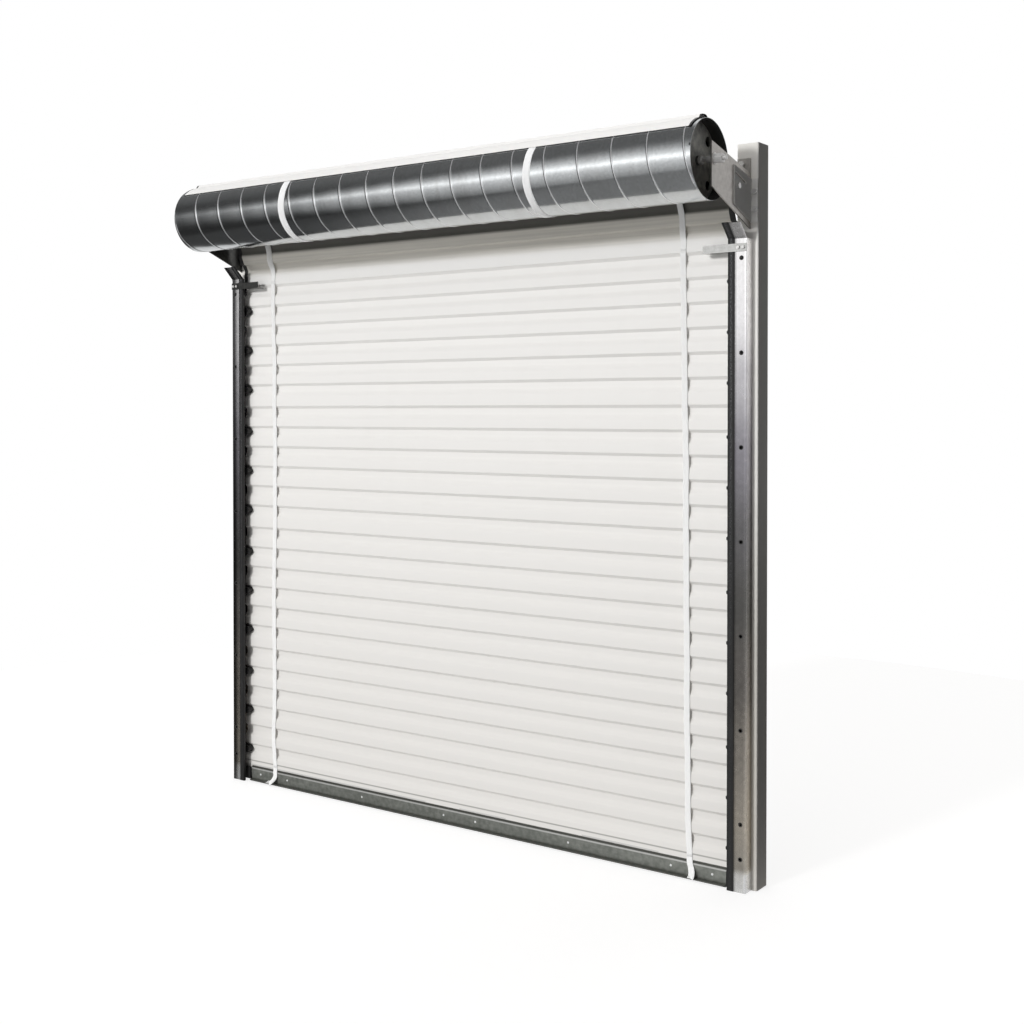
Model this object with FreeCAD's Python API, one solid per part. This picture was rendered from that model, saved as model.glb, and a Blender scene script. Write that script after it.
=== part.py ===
"""Roller shutter door, closed, seen from the room side of its wall.

A spiral lock-seam drum turns on a fixed axle between two brackets. A corrugated sheet curtain leaves
the guides through flared mouths, leans in to the back of the drum and wraps over its top. The curtain
ends in a bottom bar that slides up between the posts.

Millimetres. X runs across the door, Y runs outwards through the wall and Z is up. The origin is on the
floor at mid width, in the plane of the curtain's inner crests.
"""
import FreeCAD, Part
import math
import os

from FreeCAD import Vector

os.makedirs("parts", exist_ok=True)

# Clearances
seat_gap = 0.3
running_fit = 0.05
guide_play = 0.3
surface_gap = 0.3

# Curtain sheet
rib_pitch = 82.55
rib_depth = 10.0
rib_ledge = 11.0
rib_recess = 25.0
rib_return = 14.0
sheet_wall = 0.8
ribs_per_strip = 6
strip_count = 4
lap_allowance = 10.3
lap_reveal = 8.0
lap_cover = 18.0
lap_joggle = 3.0
sheet_grip = 24.0

# Bottom bar
bar_top = 62.7
bar_lift = 5.0
bar_angle_height = 40.0
bar_angle_leg = 24.0
bar_angle_wall = 3.0
bar_end_gap = 14.5
bar_corner = 16.0
hem_height = 10.0
cap_skirt = 16.0
cap_rise = 5.0
cap_slope = 6.0
bar_cap_wall = 1.5
rivet_centre_gap = 150.0
rivet_pitch = 413.5
rivet_end_step = 155.0
rivet_height = 30.0
rivet_head_radius = 4.5
rivet_head = 2.0
seal_width = 18.0
seal_back = 4.0
seal_chamfer = 2.0
runner_width = 42.0
runner_height = 46.0
runner_depth = 14.0
runner_round = 6.0

# Guides
opening_width = 2249.0
guide_width = 65.5
guide_front = 32.0
guide_wall = 1.5
guide_hem = 6.0
guide_rear_lip = 6.0
mouth_rise = 46.0
mouth_angle = 45.0
wear_width = 23.5
wear_wall = 2.0
wear_hook = 3.0
screw_pitch = 304.8
screw_count = 7
screw_first = 221.6
screw_extra = 108.2
screw_inset = 18.0
screw_access_radius = 5.0
screw_flats = 8.0
screw_head = 3.5

# Posts
post_size = 76.2
post_wall = 3.2
post_corner = 5.0
post_step = 19.6
post_above_axle = 88.0
anchor_radius = 6.75
anchor_pitch = 600.0
anchor_count = 4
anchor_first = 300.0

# Drum
drum_radius = 127.0
drum_wall = 1.2
drum_overhang = 39.5
drum_setback = 237.6
drum_rise = 229.0
seam_pitch = 128.4
seam_width = 4.0
seam_height = 1.2
seam_angle = -161.5
seam_margin = 4.0
band_insets = {"left": 557.5, "right": 569.5}
band_width = 17.0
band_wall = 0.8
cap_wall = 3.0
cap_recess = 42.0
cap_rim = 18.0
cap_hole_radius = 16.0
cap_hole_ring = 98.0
cap_hole_count = 4
hub_radius = 26.0
hub_length = 22.0
bearing_radius = 15.0
bearing_length = 28.0

# Axle
axle_radius = 8.0
axle_end = 40.0
sleeve_radius = 11.0
sleeve_length = 22.0
collar_radius = 14.0
collar_length = 9.0
nut_flats = 27.0
nut_length = 26.0
washer_radius = 18.0
washer_wall = 2.5
spring_radius = 32.0
spring_length = 640.0

# Sheet path above the guides
bend_radius = 80.0
bend_rise = 22.0
wrap_angle = 136.0

# Brackets
bracket_wall = 5.0
bracket_setout = 13.0
bracket_nose = 19.0
bracket_above = 54.0
bracket_below = 86.0
bracket_top_slope = 0.24
bracket_bottom_slope = 0.385
bracket_flange = 40.0
bracket_flange_above = 39.0
bracket_flange_below = 150.0
foot_reach = 124.0
foot_edge = 19.0
foot_flange = 22.0
slot_length = 85.0
slot_width = 9.0
slot_above = -35.0
slot_from_post = 80.0
slot_tilt = 19.0
bolt_head_flats = 18.0
bolt_head = 8.0
bolt_from_post = 103.0
bolt_below = 64.0

# Stop plates
stop_length = 156.0
stop_height = 26.0
stop_wall = 3.0
stop_above_line = 12.0
stop_clear = 3.0
stop_ledge_gap = 14.0
stop_bolt_step = 18.0
stop_bolt_inset = 11.0
stop_bolt_flats = 10.0
stop_bolt_head = 4.0

# Straps and edge clips
strap_width = 17.0
strap_wall = 1.5
strap_joint = 10.0
strap_stop = 60.0
strap_tuck = 10.0
strap_top_insets = {"left": 142.5, "right": 184.5}
strap_foot_insets = {"left": 149.5, "right": 158.5}
clip_width = 36.5
clip_front = 16.0
clip_chamfer = 9.0
clip_step = 2

# Sizes that follow
sides = {"left": -1, "right": 1}
half_opening = opening_width / 2
guide_outer = half_opening + guide_width
post_outer = guide_outer + post_step
post_inner = post_outer - post_size
post_middle = post_outer - post_size / 2
sheet_half = half_opening + sheet_grip
web_front = rib_depth + sheet_wall + guide_play
post_face = web_front + guide_wall
post_back = post_face + post_size
strip_height = ribs_per_strip * rib_pitch + lap_allowance
first_line = bar_top + strip_count * strip_height
sheet_fixed = first_line + lap_reveal
bend_start = first_line + bend_rise
guide_height = bend_start + guide_hem
axle_y = -drum_setback
axle_z = bend_start + drum_rise
post_height = axle_z + post_above_axle
drum_half = half_opening + drum_overhang
drum_length = 2 * drum_half
seam_radius = drum_radius + seam_height
band_bore = seam_radius + seat_gap
band_radius = band_bore + band_wall
wrap_radius = band_radius + seat_gap
bracket_x = drum_half + bracket_setout
nose_y = axle_y - bracket_nose


def save(name, shape):
    """Write one piece where it sits."""
    shape.exportStep("parts/" + name + ".step")


def mirrored(shape):
    """The same piece on the left of the door."""
    return shape.mirror(Vector(0, 0, 0), Vector(1, 0, 0))


def save_pair(name, shape):
    """Write the right piece and its mirror image on the left."""
    save("right_" + name, shape)
    save("left_" + name, mirrored(shape))


def box(x0, x1, y0, y1, z0, z1):
    """Box between two corners."""
    return Part.makeBox(x1 - x0, y1 - y0, z1 - z0, Vector(x0, y0, z0))


def bar_along_x(radius, x0, x1, y=axle_y, z=axle_z):
    """Round bar across the door."""
    return Part.makeCylinder(radius, x1 - x0, Vector(x0, y, z), Vector(1, 0, 0))


def bar_along_y(radius, x, y0, y1, z):
    """Round bar through the wall."""
    return Part.makeCylinder(radius, y1 - y0, Vector(x, y0, z), Vector(0, 1, 0))


def domed_head(radius, height, x, seat_y, z):
    """Eight-sided head that narrows towards the room, on a face that looks that way."""
    rings = []
    for reach, y in ((radius, seat_y), (radius * 0.6, seat_y - height)):
        corners = []
        for number in range(9):
            angle = math.radians(45 * number)
            corners.append(Vector(x + reach * math.cos(angle), y, z + reach * math.sin(angle)))
        rings.append(Part.makePolygon(corners))
    return Part.makeLoft(rings, True, True)


def hexagon_bar(flats, start, travel):
    """Hexagonal bar from a start point, with two flats facing up and down or level."""
    reach = flats / math.sqrt(3)
    side = Vector(0, 1, 0) if travel.x else Vector(1, 0, 0)
    corners = []
    for number in range(6):
        angle = math.radians(60 * number)
        corners.append(start + side * (reach * math.cos(angle)) + Vector(0, 0, reach * math.sin(angle)))
    return prism(corners, travel)


def prism(points, travel):
    """Closed outline through the points, pushed along travel."""
    return Part.Face(Part.makePolygon(points + [points[0]])).extrude(travel)


def across(outline, x0, x1):
    """Section drawn in Y and Z, run across the door."""
    return prism([Vector(x0, y, z) for y, z in outline], Vector(x1 - x0, 0, 0))


def upwards(outline, z0, z1):
    """Section drawn in X and Y, run upwards."""
    return prism([Vector(x, y, z0) for x, y in outline], Vector(0, 0, z1 - z0))


def folded(path, wall):
    """Outline of a folded strip: the path and its copy one wall to the left, with mitred corners."""
    normals = []
    for (x0, y0), (x1, y1) in zip(path, path[1:]):
        length = math.hypot(x1 - x0, y1 - y0)
        normals.append((-(y1 - y0) / length, (x1 - x0) / length))
    inner = []
    for number, (x, y) in enumerate(path):
        before = normals[max(number - 1, 0)]
        after = normals[min(number, len(normals) - 1)]
        share = wall / (1 + before[0] * after[0] + before[1] * after[1])
        inner.append((x + (before[0] + after[0]) * share, y + (before[1] + after[1]) * share))
    return path + inner[::-1]


def merged(first, *others):
    """One solid from solids that meet."""
    return first.fuse(list(others)).removeSplitter()


def drilled(shape, *tools):
    """The shape with each tool cut out of it."""
    return shape.cut(list(tools))


def upright_edges(shape, x, y):
    """Edges that run upwards at one place in plan."""
    found = []
    for edge in shape.Edges:
        points = [vertex.Point for vertex in edge.Vertexes]
        if all(abs(point.x - x) < 0.01 and abs(point.y - y) < 0.01 for point in points):
            found.append(edge)
    return found


def rounded(shape, radius, places):
    """The shape with a radius on its upright edges at the places in plan."""
    edges = [edge for x, y in places for edge in upright_edges(shape, x, y)]
    return shape.makeFillet(radius, edges)


# The sheet's path in Y and Z: up the guides, round a wide bend, straight to the drum and over it.
run_y = axle_y + bend_radius
run_z = axle_z - bend_start
run_length = math.hypot(run_y, run_z)
radius_change = bend_radius - wrap_radius
lean_angle = math.asin(radius_change / run_length) - math.atan2(run_y, run_z)
lean_length = math.sqrt(run_length ** 2 - radius_change ** 2)
lean_start = bend_start + bend_radius * lean_angle
wrap_start = lean_start + lean_length
sheet_end = wrap_start + wrap_radius * (math.radians(wrap_angle) - lean_angle)


def sheet_point(station, offset):
    """Place of a station along the path, set back from the crest face by offset."""
    if station <= bend_start:
        return (offset, station)
    if station <= wrap_start:
        angle = min(station - bend_start, lean_start - bend_start) / bend_radius
        along = max(station - lean_start, 0.0)
        y = -bend_radius + (bend_radius + offset) * math.cos(angle) - along * math.sin(angle)
        z = bend_start + (bend_radius + offset) * math.sin(angle) + along * math.cos(angle)
        return (y, z)
    angle = lean_angle + (station - wrap_start) / wrap_radius
    reach = wrap_radius + offset
    return (axle_y + reach * math.cos(angle), axle_z + reach * math.sin(angle))


def rib_lines():
    """Stations of the rib lines, from the first above the bottom bar to the last on the drum."""
    found = []
    station = bar_top + rib_pitch + lap_allowance
    while station < sheet_end:
        found.append(station)
        station += rib_pitch
        if len(found) % ribs_per_strip == 0:
            station += lap_allowance
    return found


lines = rib_lines()


def rib_offset(station):
    """How far the sheet lies behind its crest face at a station; its two ends are flat."""
    if station <= bar_top or station > lines[-1]:
        return 0.0
    down = min(line for line in lines if line >= station) - station
    if down <= rib_ledge:
        return rib_depth * down / rib_ledge
    if down <= rib_ledge + rib_recess:
        return rib_depth
    return rib_depth * max(0.0, 1 - (down - rib_ledge - rib_recess) / rib_return)


def path_marks(low, high):
    """Stations where an outline needs a point: rib corners, and even steps where the path curves."""
    marks = {low, high}
    for line in lines:
        for down in (0.0, rib_ledge, rib_ledge + rib_recess, rib_ledge + rib_recess + rib_return):
            marks.add(line - down)
    for start, end in ((bend_start, lean_start), (wrap_start, sheet_end)):
        steps = round((end - start) / 9.0)
        marks.update(start + (end - start) * step / steps for step in range(steps + 1))
    return sorted(mark for mark in marks if low <= mark <= high)


def sheet(low, high, lap):
    """Full-width sheet between two stations, its head stepped back behind the strip above the lap."""
    marks = path_marks(low, high)
    if high > lap:
        marks = sorted(set(marks) | {lap - lap_joggle, lap})
    front = []
    back = []
    for mark in marks:
        tuck = sheet_wall * min(1.0, max(0.0, 1 + (mark - lap) / lap_joggle))
        front.append(sheet_point(mark, rib_offset(mark) + tuck))
        back.append(sheet_point(mark, rib_offset(mark) + tuck + sheet_wall))
    return across(front + back[::-1], -sheet_half, sheet_half)


# Curtain: lapped strips in the guides, then the sheet that leans in and the sheet over the drum.
for number in range(1, strip_count + 1):
    head = first_line - (number - 1) * strip_height + lap_reveal
    save("curtain_strip_%d" % number, sheet(head - strip_height, head + lap_cover, head))
save("curtain_lean", sheet(sheet_fixed, wrap_start, sheet_end))
save("curtain_wrap", sheet(wrap_start, sheet_end, sheet_end + lap_joggle))

# Edge clips: guide blocks that fill every second rib's recess at the curtain's edges.
clips = []
clip_edge = sheet_half - clip_width
for line in lines[:ribs_per_strip * strip_count:clip_step]:
    high = line - rib_ledge
    low = high - rib_recess
    clip_outline = [
        (sheet_half, low),
        (clip_edge + clip_chamfer, low),
        (clip_edge, low + clip_chamfer),
        (clip_edge, high - clip_chamfer),
        (clip_edge + clip_chamfer, high),
        (sheet_half, high),
    ]
    points = [Vector(x, -clip_front, z) for x, z in clip_outline]
    clips.append(prism(points, Vector(0, clip_front + rib_depth, 0)))
save_pair("edge_clips", Part.makeCompound(clips))

# Posts: square tubes with anchor holes through both walls.
post = box(post_inner, post_outer, post_face, post_back, 0, post_height)
post = rounded(post, post_corner, [(x, y) for x in (post_inner, post_outer) for y in (post_face, post_back)])
core_x = (post_inner + post_wall, post_outer - post_wall)
core_y = (post_face + post_wall, post_back - post_wall)
core = box(core_x[0], core_x[1], core_y[0], core_y[1], 0, post_height)
core = rounded(core, post_corner - post_wall, [(x, y) for x in core_x for y in core_y])
anchor_heights = [anchor_first + number * anchor_pitch for number in range(anchor_count)]
anchors = [bar_along_y(anchor_radius, post_middle, post_face, post_back, z) for z in anchor_heights]

# Guides: roll-formed channels whose front face flares into a mouth at the top.
screw_x = guide_outer - screw_inset
screw_heights = [screw_extra] + [screw_first + number * screw_pitch for number in range(screw_count)]
lip = half_opening + wear_wall
channel_path = [
    (lip, -guide_front + guide_hem),
    (lip, -guide_front),
    (guide_outer, -guide_front),
    (guide_outer, post_face),
    (half_opening - guide_rear_lip, post_face),
]
channel = upwards(folded(channel_path, guide_wall), 0, guide_height)
channel = rounded(channel, guide_wall, channel_path[2:4])
mouth_reach = mouth_rise * math.tan(math.radians(mouth_angle))


def mouth(front, wall, x0, x1):
    """Flared plate above the guide, bent towards the room from a front face."""
    path = [
        (-front - mouth_reach, guide_height + mouth_rise),
        (-front, guide_height),
        (-front, guide_height - mouth_rise / 8),
    ]
    return across(folded(path, wall), x0, x1)


stop_low = first_line + stop_above_line - stop_height
stop_bolt_xs = [guide_outer - stop_bolt_inset - stop_bolt_step * number for number in (0, 1)]
stop_middle = stop_low + stop_height / 2
access = [bar_along_y(screw_access_radius, screw_x, -guide_front, 0, z) for z in screw_heights]
guide = merged(channel, mouth(guide_front, guide_wall, half_opening + wear_width, guide_outer))
save_pair("guide", drilled(guide, *access))

# Wear strips: black edging clipped on the guide's front lip, and on the mouth above it.
edging_path = [
    (lip + guide_wall + wear_hook, -guide_front + guide_hem),
    (lip + guide_wall, -guide_front + guide_hem),
    (lip, -guide_front + guide_hem),
    (lip, -guide_front),
    (half_opening + wear_width, -guide_front),
]
edging = upwards(folded(edging_path[::-1], wear_wall)[::-1], 0, guide_height)
edging_mouth = mouth(guide_front + wear_wall, guide_wall + wear_wall, half_opening, half_opening + wear_width)
notch = box(half_opening, guide_outer, -guide_front - wear_wall, -guide_front, stop_low, stop_low + stop_height)
save_pair("wear_strip", drilled(merged(edging, edging_mouth), channel, notch))

# Guide screws: hexagonal heads against the web, reached through the front holes.
screws = []
for z in screw_heights:
    start = Vector(screw_x, web_front - screw_head, z)
    screws.append(hexagon_bar(screw_flats, start, Vector(0, screw_head, 0)))
save_pair("guide_screws", Part.makeCompound(screws))

# Stop plates: angles bolted on the guide's face, whose ledge meets the bottom bar.
stop_front = -guide_front - stop_wall
stop_path = [
    (stop_front, stop_low + stop_height),
    (stop_front, stop_low),
    (-stop_clear, stop_low),
]
stop_face = box(guide_outer - stop_length, guide_outer, stop_front, -guide_front, stop_low, stop_low + stop_height)
stop_ledge = across(folded(stop_path, stop_wall), guide_outer - stop_length, half_opening - stop_ledge_gap)
save_pair("stop_plate", merged(stop_face, stop_ledge))
stop_bolts = []
for x in stop_bolt_xs:
    start = Vector(x, stop_front - stop_bolt_head, stop_middle)
    stop_bolts.append(hexagon_bar(stop_bolt_flats, start, Vector(0, stop_bolt_head, 0)))
save_pair("stop_bolts", Part.makeCompound(stop_bolts))

# Brackets: a cranked plate with a flange on the post, and a foot angle bolted outside it.
plate_end = bracket_x + bracket_wall
plate_length = post_face - nose_y
nose_top = axle_z + bracket_above
nose_bottom = axle_z - bracket_below
tail_top = nose_top - bracket_top_slope * plate_length
tail_bottom = nose_bottom - bracket_bottom_slope * plate_length
plate_outline = [(nose_y, nose_bottom), (nose_y, nose_top), (post_face, tail_top), (post_face, tail_bottom)]
flange_low = axle_z - bracket_flange_below
flange_high = axle_z + bracket_flange_above
flange_y = post_face - bracket_wall
flange = box(bracket_x - bracket_flange, plate_end, flange_y, post_face, flange_low, flange_high)
foot_y = post_face - foot_reach
foot_outline = []
for y in (foot_y, post_face):
    foot_outline.append((y, nose_top - bracket_top_slope * (y - nose_y) - foot_edge))
for y in (post_face, foot_y):
    foot_outline.append((y, nose_bottom - bracket_bottom_slope * (y - nose_y) + foot_edge))
foot_high = foot_outline[1][1]
foot_low = foot_outline[2][1]
foot_end = plate_end + bracket_wall
foot_web = across(foot_outline, plate_end, foot_end)
foot_face = box(plate_end, foot_end + foot_flange, flange_y, post_face, foot_low, foot_high)


def slot_cutter():
    """Long hole through plate and foot, tilted like the plate."""
    half = (slot_length - slot_width) / 2
    y = post_face - slot_from_post
    z = axle_z + slot_above
    body = box(bracket_x, foot_end, y - half, y + half, z - slot_width / 2, z + slot_width / 2)
    ends = [bar_along_x(slot_width / 2, bracket_x, foot_end, y + side * half, z) for side in (-1, 1)]
    cutter = merged(body, *ends)
    cutter.rotate(Vector(bracket_x, y, z), Vector(1, 0, 0), -slot_tilt)
    return cutter


foot_bolt_x = foot_end + foot_flange / 2
foot_bolt_heights = [foot_low + (foot_high - foot_low) * share for share in (0.3, 0.7)]
flange_bolt_x = bracket_x - bracket_flange * 0.6
flange_bolt_heights = [flange_low + bolt_head_flats, flange_high - bolt_head_flats]
post_bolts = [(foot_bolt_x, z) for z in foot_bolt_heights] + [(flange_bolt_x, z) for z in flange_bolt_heights]
join_y = post_face - bolt_from_post
join_z = axle_z - bolt_below
axle_bore = bar_along_x(axle_radius, bracket_x, plate_end)
bracket = merged(across(plate_outline, bracket_x, plate_end), flange)
save_pair("bracket_plate", drilled(bracket, axle_bore, slot_cutter()))
save_pair("bracket_foot", drilled(merged(foot_web, foot_face), slot_cutter()))
save_pair("post", drilled(post, core, *anchors))

# Bracket bolts: heads on the flange and the foot, and the head and nut that clamp the two together.
bolts = []
for x, z in post_bolts:
    bolts.append(hexagon_bar(bolt_head_flats, Vector(x, flange_y - bolt_head, z), Vector(0, bolt_head, 0)))
for x in (bracket_x - bolt_head, foot_end):
    bolts.append(hexagon_bar(bolt_head_flats, Vector(x, join_y, join_z), Vector(bolt_head, 0, 0)))
save_pair("bracket_bolts", Part.makeCompound(bolts))

# Axle, held by its nuts; the sleeves and collars keep the drum central.
axle_half = plate_end + axle_end
save("axle", bar_along_x(axle_radius, -axle_half, axle_half))
washer = bar_along_x(washer_radius, plate_end, plate_end + washer_wall)
nut = hexagon_bar(nut_flats, Vector(plate_end + washer_wall, axle_y, axle_z), Vector(nut_length, 0, 0))
axle_core = bar_along_x(axle_radius, 0, axle_half)
save_pair("axle_nut", drilled(merged(washer, nut), axle_core))
cap_face = drum_half - cap_recess
bearing_face = cap_face + bearing_length / 4
collar = bar_along_x(collar_radius, bearing_face + seat_gap, bearing_face + seat_gap + collar_length)
sleeve = bar_along_x(sleeve_radius, bracket_x - sleeve_length, bracket_x)
save_pair("axle_collar", Part.makeCompound([drilled(collar, axle_core), drilled(sleeve, axle_core)]))

# Counterbalance springs, close wound round the axle.
spring_end = cap_face - hub_length - seat_gap
coil = bar_along_x(spring_radius, spring_end - spring_length, spring_end)
save_pair("torsion_spring", drilled(coil, axle_core))

# Drum: tube, end caps and bearings.
tube = bar_along_x(drum_radius, -drum_half, drum_half)
tube_bore = bar_along_x(drum_radius - drum_wall, -drum_half, drum_half)
save("drum_tube", drilled(tube, tube_bore))
disc = bar_along_x(drum_radius - drum_wall, cap_face - cap_rim, cap_face)
hollow = bar_along_x(drum_radius - drum_wall - cap_wall, cap_face - cap_rim, cap_face - cap_wall)
hub = bar_along_x(hub_radius, cap_face - hub_length, cap_face)
bearing_bore = bar_along_x(bearing_radius, cap_face - hub_length, cap_face)
cap_holes = []
for number in range(cap_hole_count):
    angle = 2 * math.pi * (number + 0.5) / cap_hole_count
    hole_y = axle_y + cap_hole_ring * math.cos(angle)
    hole_z = axle_z + cap_hole_ring * math.sin(angle)
    cap_holes.append(bar_along_x(cap_hole_radius, cap_face - cap_wall, cap_face, hole_y, hole_z))
save_pair("drum_cap", drilled(merged(drilled(disc, hollow), hub), bearing_bore, *cap_holes))
bearing = bar_along_x(bearing_radius, bearing_face - bearing_length, bearing_face)
journal = bar_along_x(axle_radius + running_fit, bearing_face - bearing_length, bearing_face)
save_pair("drum_bearing", drilled(bearing, journal))


def seam_edge(radius, shift):
    """One helical edge of the lock seam, a number of whole and part turns along the drum."""
    length = drum_length - 2 * seam_margin
    helix = Part.makeLongHelix(seam_pitch, length, radius, 0)
    helix.rotate(Vector(0, 0, 0), Vector(0, 0, 1), seam_angle)
    helix.translate(Vector(0, 0, shift - length / 2))
    helix.rotate(Vector(0, 0, 0), Vector(1, 1, 1), 120)
    helix.translate(Vector(0, axle_y, axle_z))
    return helix


def lock_seam():
    """Raised helical ridge with a sharp top, closed by its ends."""
    rails = [
        seam_edge(drum_radius + surface_gap, -seam_width / 2),
        seam_edge(seam_radius, 0),
        seam_edge(drum_radius + surface_gap, seam_width / 2),
    ]
    faces = []
    for first, second in zip(rails, rails[1:] + rails[:1]):
        faces += Part.makeRuledSurface(first, second).Faces
    for end in (0, -1):
        corners = [rail.Vertexes[end].Point for rail in rails]
        faces.append(Part.Face(Part.makePolygon(corners + [corners[0]])))
    shell = Part.Shell(faces)
    shell.sewShape()
    return Part.Solid(Part.Shell(shell.Faces))


# Lock seam, and the tape bands that pass over it.
save("drum_lock_seam", lock_seam())
for name, side in sides.items():
    band_x = side * (half_opening - band_insets[name]) - band_width / 2
    ring = bar_along_x(band_radius, band_x, band_x + band_width)
    ring_bore = bar_along_x(band_bore, band_x, band_x + band_width)
    save(name + "_drum_band", drilled(ring, ring_bore))

# Bottom bar: angle and roll-formed cap on the curtain's hem, with rivets, runners and floor seal.
bar_half = half_opening - bar_end_gap
angle_path = [(-bar_angle_leg, bar_lift), (0, bar_lift), (0, bar_lift + bar_angle_height)]
angle = across(folded(angle_path, bar_angle_wall), -bar_half, bar_half)
angle = rounded(angle, bar_corner, [(-bar_half, -bar_angle_leg), (bar_half, -bar_angle_leg)])
rivet_xs = [rivet_centre_gap / 2 + rivet_pitch * number for number in range(3)]
rivet_xs.append(rivet_xs[-1] + rivet_end_step)
rivet_xs = [-x for x in rivet_xs[::-1]] + rivet_xs
hem = sheet(hem_height, bar_top + lap_reveal + lap_cover, bar_top + lap_reveal)
save("bottom_angle", angle)
save("curtain_hem", hem)
cap_front = -bar_angle_wall
cap_path = [
    (0, bar_top),
    (0, bar_top - cap_rise),
    (cap_front, bar_top - cap_rise - cap_slope),
    (cap_front, bar_top - cap_rise - cap_slope - cap_skirt),
]
save("bar_cap", across(folded(cap_path, -bar_cap_wall), -bar_half, bar_half))
rivets = [domed_head(rivet_head_radius, rivet_head, x, -bar_angle_wall, rivet_height) for x in rivet_xs]
save("bar_rivets", Part.makeCompound(rivets))
seal_outline = [
    (seal_back - seal_width, bar_lift),
    (seal_back - seal_width, seal_chamfer),
    (seal_back - seal_width + seal_chamfer, 0),
    (seal_back - seal_chamfer, 0),
    (seal_back, seal_chamfer),
    (seal_back, bar_lift),
]
save("bottom_seal", across(seal_outline, -bar_half, bar_half))
runner_start = bar_half + seat_gap
runner_low = bar_lift + bar_angle_wall
runner = box(runner_start, runner_start + runner_width, -runner_depth, 0, runner_low, runner_low + runner_height)
runner = rounded(runner, runner_round, [(runner_start, -runner_depth), (runner_start + runner_width, -runner_depth)])
save_pair("bar_runner", runner)

# Straps: flat webbing over the crests, their loops under the bar and their ends behind the drum.
strap_low = bar_top + strap_joint
leads = []
for name, side in sides.items():
    strap_top = side * (half_opening - strap_top_insets[name])
    strap_foot = side * (half_opening - strap_foot_insets[name])
    corners = [(strap_foot, strap_low), (strap_top, sheet_fixed)]
    outline = [(x - strap_width / 2, z) for x, z in corners] + [(x + strap_width / 2, z) for x, z in corners[::-1]]
    points = [Vector(x, -strap_wall, z) for x, z in outline]
    save(name + "_strap", prism(points, Vector(0, strap_wall, 0)))
    start = strap_foot - strap_width / 2
    loop_path = [
        (0, strap_low),
        (0, strap_low - strap_joint / 2),
        (-bar_cap_wall, bar_top),
        (cap_front - bar_cap_wall, bar_top - cap_rise),
        (cap_front - bar_cap_wall, bar_lift + bar_angle_height / 2),
        (-bar_angle_leg, bar_lift + bar_angle_wall),
        (-bar_angle_leg, bar_lift),
        (-bar_angle_leg + strap_tuck, bar_lift),
    ]
    save(name + "_strap_loop", across(folded(loop_path, -strap_wall), start, start + strap_width))
    marks = path_marks(sheet_fixed, wrap_start - strap_stop)
    front = [sheet_point(mark, -strap_wall) for mark in marks]
    back = [sheet_point(mark, 0) for mark in marks]
    lead_x = strap_top - strap_width / 2
    leads.append(across(front + back[::-1], lead_x, lead_x + strap_width))
save("strap_leads", Part.makeCompound(leads))
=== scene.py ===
"""Roller shutter door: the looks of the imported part, in metres and in the part's own frame."""
import math

import bpy
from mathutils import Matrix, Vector, noise


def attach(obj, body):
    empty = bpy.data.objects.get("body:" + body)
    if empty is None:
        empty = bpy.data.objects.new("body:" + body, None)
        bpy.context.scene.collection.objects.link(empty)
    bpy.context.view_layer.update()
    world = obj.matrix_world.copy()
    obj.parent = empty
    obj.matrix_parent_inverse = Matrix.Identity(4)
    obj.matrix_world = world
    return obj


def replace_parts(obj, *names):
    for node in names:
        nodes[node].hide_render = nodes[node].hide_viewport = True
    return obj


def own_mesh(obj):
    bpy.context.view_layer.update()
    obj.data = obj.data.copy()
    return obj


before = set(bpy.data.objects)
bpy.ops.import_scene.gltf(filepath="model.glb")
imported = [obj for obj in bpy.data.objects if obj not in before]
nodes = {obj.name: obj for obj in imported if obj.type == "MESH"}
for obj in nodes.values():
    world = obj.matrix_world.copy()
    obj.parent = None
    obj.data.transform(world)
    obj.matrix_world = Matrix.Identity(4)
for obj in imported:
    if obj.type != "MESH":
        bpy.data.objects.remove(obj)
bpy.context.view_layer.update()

# Sizes that the pieces here share with the part.
pitch = 0.08255
rib_depth = 0.010
rib_ledge = 0.011
rib_recess = 0.025
rib_return = 0.014
sheet_wall = 0.0008
sheet_half = 1.1485
bar_top = 0.0627
lap_allowance = 0.0103
lap_reveal = 0.008
lap_cover = 0.018
ribs_per_strip = 6
strip_count = 4
strip_height = ribs_per_strip * pitch + lap_allowance
first_line = bar_top + strip_count * strip_height
sheet_fixed = first_line + lap_reveal
bend_start = first_line + 0.022
bend_radius = 0.080
axle_y = -0.2376
axle_z = bend_start + 0.229
drum_radius = 0.127
drum_half = 1.164
wrap_radius = 0.1296
wrap_angle = math.radians(136)
seam_pitch = 0.1284

# Distance off the middle where the lock seam starts on the left, and its angle there in degrees.
seam_end = 1.160
seam_phase = 161.5

# Distances off the middle: edges of a guide's front face, and where the sheet turns black towards its
# ends.
guide_face = (1.1435, 1.1893)
lean_black_start = 1.128
wrap_black_start = 1.1405


# Materials

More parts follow.
